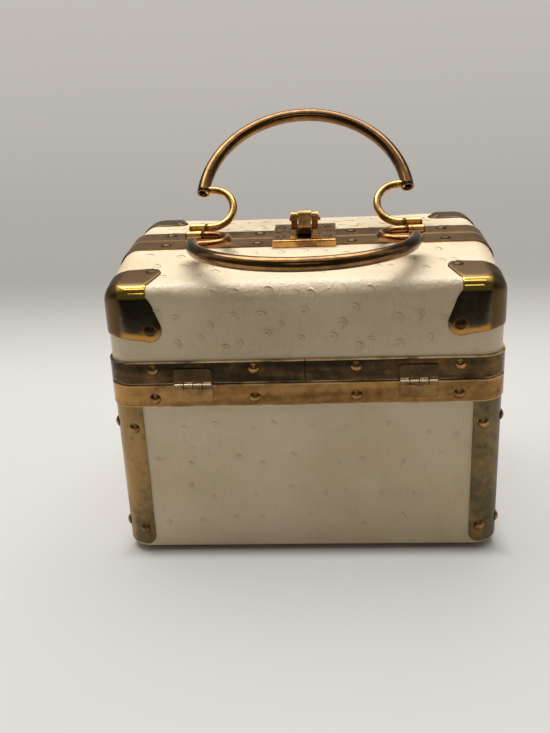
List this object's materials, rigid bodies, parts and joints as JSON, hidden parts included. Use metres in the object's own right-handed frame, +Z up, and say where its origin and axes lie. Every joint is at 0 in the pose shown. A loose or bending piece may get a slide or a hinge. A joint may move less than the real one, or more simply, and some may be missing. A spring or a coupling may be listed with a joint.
{
  "type": "makeup train case",
  "caption": "Box-shaped makeup train case with a two-part clamshell lid, metal corner trim, fold-down arched handles and a top clasp.",
  "frame": {"origin": "centre of the underside, on the floor", "axes": "+X to the right along the long side, +Y from front to back, +Z up"},
  "size_m": [0.2368, 0.1862, 0.2508],
  "materials": {
    "grained_cover": "embossed quill grain, satin, slightly padded",
    "board": "plain fibre board",
    "underside_board": "dark stained board",
    "lining_cloth": "plain woven lining",
    "band_brass": "tarnished, polished high spots",
    "strip_brass": "tarnished, mottled",
    "trim_brass": "polished",
    "rivet_brass": "domed, worn",
    "hinge_brass": "pale, worn",
    "handle_brass": "brown patina",
    "rod_brass": "bright, polished",
    "clasp_brass": "tarnished, bright edges",
    "pin_steel": "plain"
  },
  "bodies": {
    "base": {"base_cover": "grained_cover", "base_lining": "lining_cloth", "base_shell": "board", "base_underside": "underside_board", "corner_strip_back_left": "strip_brass", "corner_strip_back_right": "strip_brass", "corner_strip_front_left": "strip_brass", "corner_strip_front_right": "strip_brass", "corner_strip_rivets": "rivet_brass", "hinge_lower_back_left": "hinge_brass", "hinge_lower_back_right": "hinge_brass", "hinge_lower_front_left": "hinge_brass", "hinge_lower_front_right": "hinge_brass", "lower_band": "band_brass", "lower_band_rivets": "rivet_brass"},
    "front_lid": {"clasp_front_plate": "clasp_brass", "front_band_left": "band_brass", "front_band_right": "band_brass", "front_band_rivets": "rivet_brass", "front_bracket_left": "rod_brass", "front_bracket_right": "rod_brass", "front_cap_left": "trim_brass", "front_cap_right": "trim_brass", "front_clasp_rivets": "rivet_brass", "front_edge_strip": "trim_brass", "front_lid_cover": "grained_cover", "front_lid_lining": "lining_cloth", "front_lid_shell": "board", "front_trim_rivets": "rivet_brass", "hinge_pin_front_left": "pin_steel", "hinge_pin_front_right": "pin_steel", "hinge_upper_front_left": "hinge_brass", "hinge_upper_front_right": "hinge_brass"},
    "back_lid": {"back_band_left": "band_brass", "back_band_right": "band_brass", "back_band_rivets": "rivet_brass", "back_bracket_left": "rod_brass", "back_bracket_right": "rod_brass", "back_cap_left": "trim_brass", "back_cap_right": "trim_brass", "back_clasp_rivets": "rivet_brass", "back_edge_strip": "trim_brass", "back_lid_cover": "grained_cover", "back_lid_lining": "lining_cloth", "back_lid_shell": "board", "back_trim_rivets": "rivet_brass", "clasp_back_plate": "clasp_brass", "clasp_pin": "pin_steel", "clasp_spring": "pin_steel", "hinge_pin_back_left": "pin_steel", "hinge_pin_back_right": "pin_steel", "hinge_upper_back_left": "hinge_brass", "hinge_upper_back_right": "hinge_brass"},
    "front_handle": {"front_handle_rod_left": "rod_brass", "front_handle_rod_right": "rod_brass", "front_handle_tube": "handle_brass"},
    "back_handle": {"back_handle_rod_left": "rod_brass", "back_handle_rod_right": "rod_brass", "back_handle_tube": "handle_brass"},
    "clasp_lever": {"clasp_lever": "clasp_brass"}
  },
  "joints": [
    {"name": "front_lid_hinge", "type": "hinge", "parent": "base", "child": "front_lid", "pos_m": [0, -0.0829, 0.116], "axis": [1, 0, 0], "range_deg": [0, 150]},
    {"name": "back_lid_hinge", "type": "hinge", "parent": "base", "child": "back_lid", "pos_m": [0, 0.0829, 0.116], "axis": [-1, 0, 0], "range_deg": [0, 150]},
    {"name": "front_handle_pivot", "type": "hinge", "parent": "front_lid", "child": "front_handle", "pos_m": [0, -0.0095, 0.1867], "axis": [-1, 0, 0], "range_deg": [-8, 86.5]},
    {"name": "back_handle_pivot", "type": "hinge", "parent": "back_lid", "child": "back_handle", "pos_m": [0, 0.0095, 0.1867], "axis": [1, 0, 0], "range_deg": [-47.5, 47]},
    {"name": "clasp_lever_pivot", "type": "hinge", "parent": "back_lid", "child": "clasp_lever", "pos_m": [0, 0.004, 0.1939], "axis": [-1, 0, 0], "range_deg": [0, 15], "stiffness_Nm_per_rad": 0.02, "springref_deg": -5.73, "deforming": ["clasp_spring"]}
  ]
}
